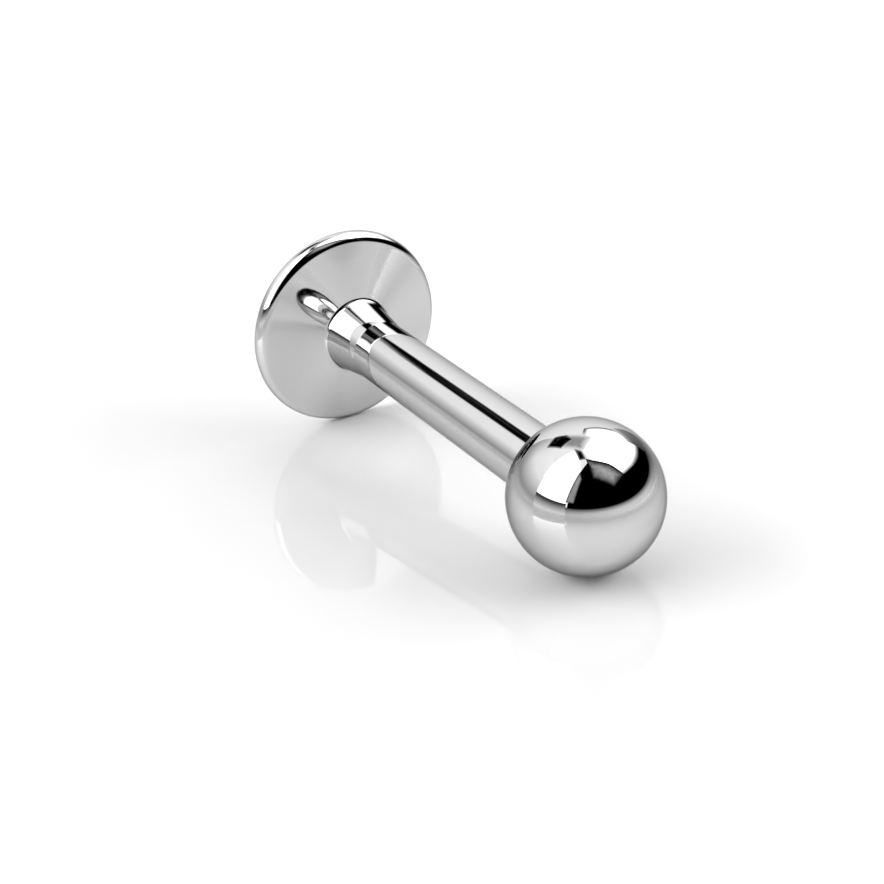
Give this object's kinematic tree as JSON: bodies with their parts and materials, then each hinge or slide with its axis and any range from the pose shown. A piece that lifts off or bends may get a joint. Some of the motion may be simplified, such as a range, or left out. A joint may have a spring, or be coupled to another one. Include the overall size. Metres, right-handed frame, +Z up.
{
  "type": "labret stud",
  "caption": "Polished steel labret stud: a round bar on a thin disc, with a ball that closes its threaded end.",
  "frame": {"origin": "on the surface that the stud lies on, below the middle of its length", "axes": "+Z up, +X from the disc towards the ball as seen from above, +Y across the bar; the bar leans down towards the ball by 4.7 degrees"},
  "size_m": [0.0098, 0.004, 0.004],
  "materials": {
    "post_steel": "mirror-polished surgical steel",
    "ball_steel": "mirror-polished surgical steel"
  },
  "bodies": {
    "ball": {"ball": "ball_steel"},
    "post": {"post": "post_steel"}
  },
  "joints": [
    {"name": "post_slide", "type": "slide", "parent": "ball", "child": "post", "axis": [-0.9967, 0, 0.0815], "range_m": [0, 0.008]}
  ]
}
